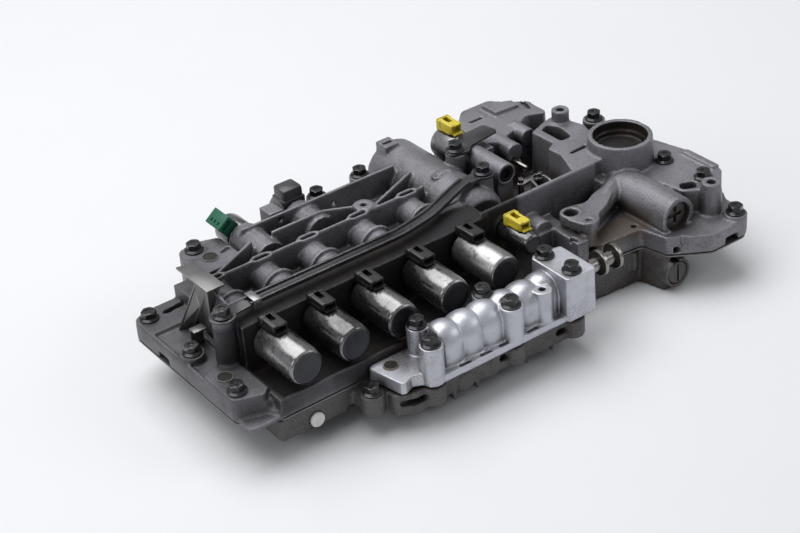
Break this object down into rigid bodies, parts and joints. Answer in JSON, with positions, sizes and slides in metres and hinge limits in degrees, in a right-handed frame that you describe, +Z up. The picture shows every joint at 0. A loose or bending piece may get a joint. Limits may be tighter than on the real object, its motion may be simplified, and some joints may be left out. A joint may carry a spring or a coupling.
{
  "type": "transmission valve body",
  "caption": "Hydraulic control unit of an automatic transmission: stacked alloy castings with bore housings, round solenoids with plugs, a sliding manual valve and flange bolts.",
  "frame": {"origin": "on the flat mating face of the lower casting, near the middle of the outline", "axes": "+X along the length towards the neck ring, +Y towards the rear row of solenoids, +Z up from the mating face through the castings to the neck ring"},
  "size_m": [0.433, 0.2407, 0.0943],
  "materials": {
    "cast_grey": "sand-cast, satin, oil-darkened",
    "cast_dark": "sand-cast, satin, oil-darkened",
    "cast_bright": "die-cast, clean satin",
    "plate_steel": "satin sheet",
    "black_steel": "black phosphate with an oil film",
    "black_plastic": "satin",
    "yellow_plastic": "satin",
    "green_plastic": "satin",
    "white_plastic": "satin",
    "can_steel": "drawn steel can, oiled, glossy",
    "valve_steel": "ground",
    "spring_steel": "bright"
  },
  "bodies": {
    "housing": {"bar_clip": "spring_steel", "bolt_bar_left": "black_steel", "bolt_bar_right": "black_steel", "bolt_clamp": "black_steel", "bolt_corner": "black_steel", "bolt_deck": "black_steel", "bolt_deck_front": "black_steel", "bolt_front_left": "black_steel", "bolt_left": "black_steel", "bolt_lower": "black_steel", "bolt_manual_front_1": "black_steel", "bolt_manual_front_2": "black_steel", "bolt_manual_front_3": "black_steel", "bolt_manual_rear_1": "black_steel", "bolt_manual_rear_2": "black_steel", "bolt_manual_rear_3": "black_steel", "bolt_neck_rear": "black_steel", "bolt_rear_barrel": "black_steel", "bolt_rear_block": "black_steel", "bolt_rear_left": "black_steel", "bolt_rear_middle": "black_steel", "connector_1": "black_plastic", "connector_2": "black_plastic", "connector_3": "black_plastic", "connector_4": "black_plastic", "connector_5": "black_plastic", "harness_bracket": "plate_steel", "linear_solenoid_1": "can_steel", "linear_solenoid_2": "can_steel", "linear_solenoid_3": "can_steel", "linear_solenoid_4": "can_steel", "linear_solenoid_5": "can_steel", "locating_tab": "spring_steel", "lockup_connector": "yellow_plastic", "lockup_solenoid": "can_steel", "lower_bore_plug": "cast_dark", "lower_valve_body": "cast_dark", "manual_valve_body": "cast_bright", "modulator_plug": "black_steel", "modulator_spring": "spring_steel", "port_plug": "white_plastic", "pressure_regulator_plug": "cast_dark", "pressure_regulator_spring": "spring_steel", "retainer_bar": "black_steel", "separator_plate": "plate_steel", "shift_connector_a": "yellow_plastic", "shift_connector_b": "green_plastic", "shift_connector_c": "black_plastic", "shift_solenoid_a": "can_steel", "shift_solenoid_b": "can_steel", "shift_solenoid_c": "can_steel", "solenoid_clamp": "black_steel", "spring_clip": "spring_steel", "stop_pin": "valve_steel", "upper_valve_body": "cast_grey"},
    "manual_spool": {"manual_valve": "valve_steel"},
    "regulator_spool": {"pressure_regulator_valve": "valve_steel"},
    "modulator_spool": {"modulator_valve": "valve_steel"}
  },
  "joints": [
    {"name": "manual_slide", "type": "slide", "parent": "housing", "child": "manual_spool", "axis": [1, 0, 0], "range_m": [-0.012, 0.016]},
    {"name": "regulator_slide", "type": "slide", "parent": "housing", "child": "regulator_spool", "axis": [0, 1, 0], "range_m": [0, 0.005], "stiffness_N_per_m": 2000, "springref_m": -0.01, "deforming": ["pressure_regulator_spring"]},
    {"name": "modulator_slide", "type": "slide", "parent": "housing", "child": "modulator_spool", "axis": [0, 1, 0], "range_m": [0, 0.004], "stiffness_N_per_m": 1500, "springref_m": -0.008, "deforming": ["modulator_spring"]}
  ]
}
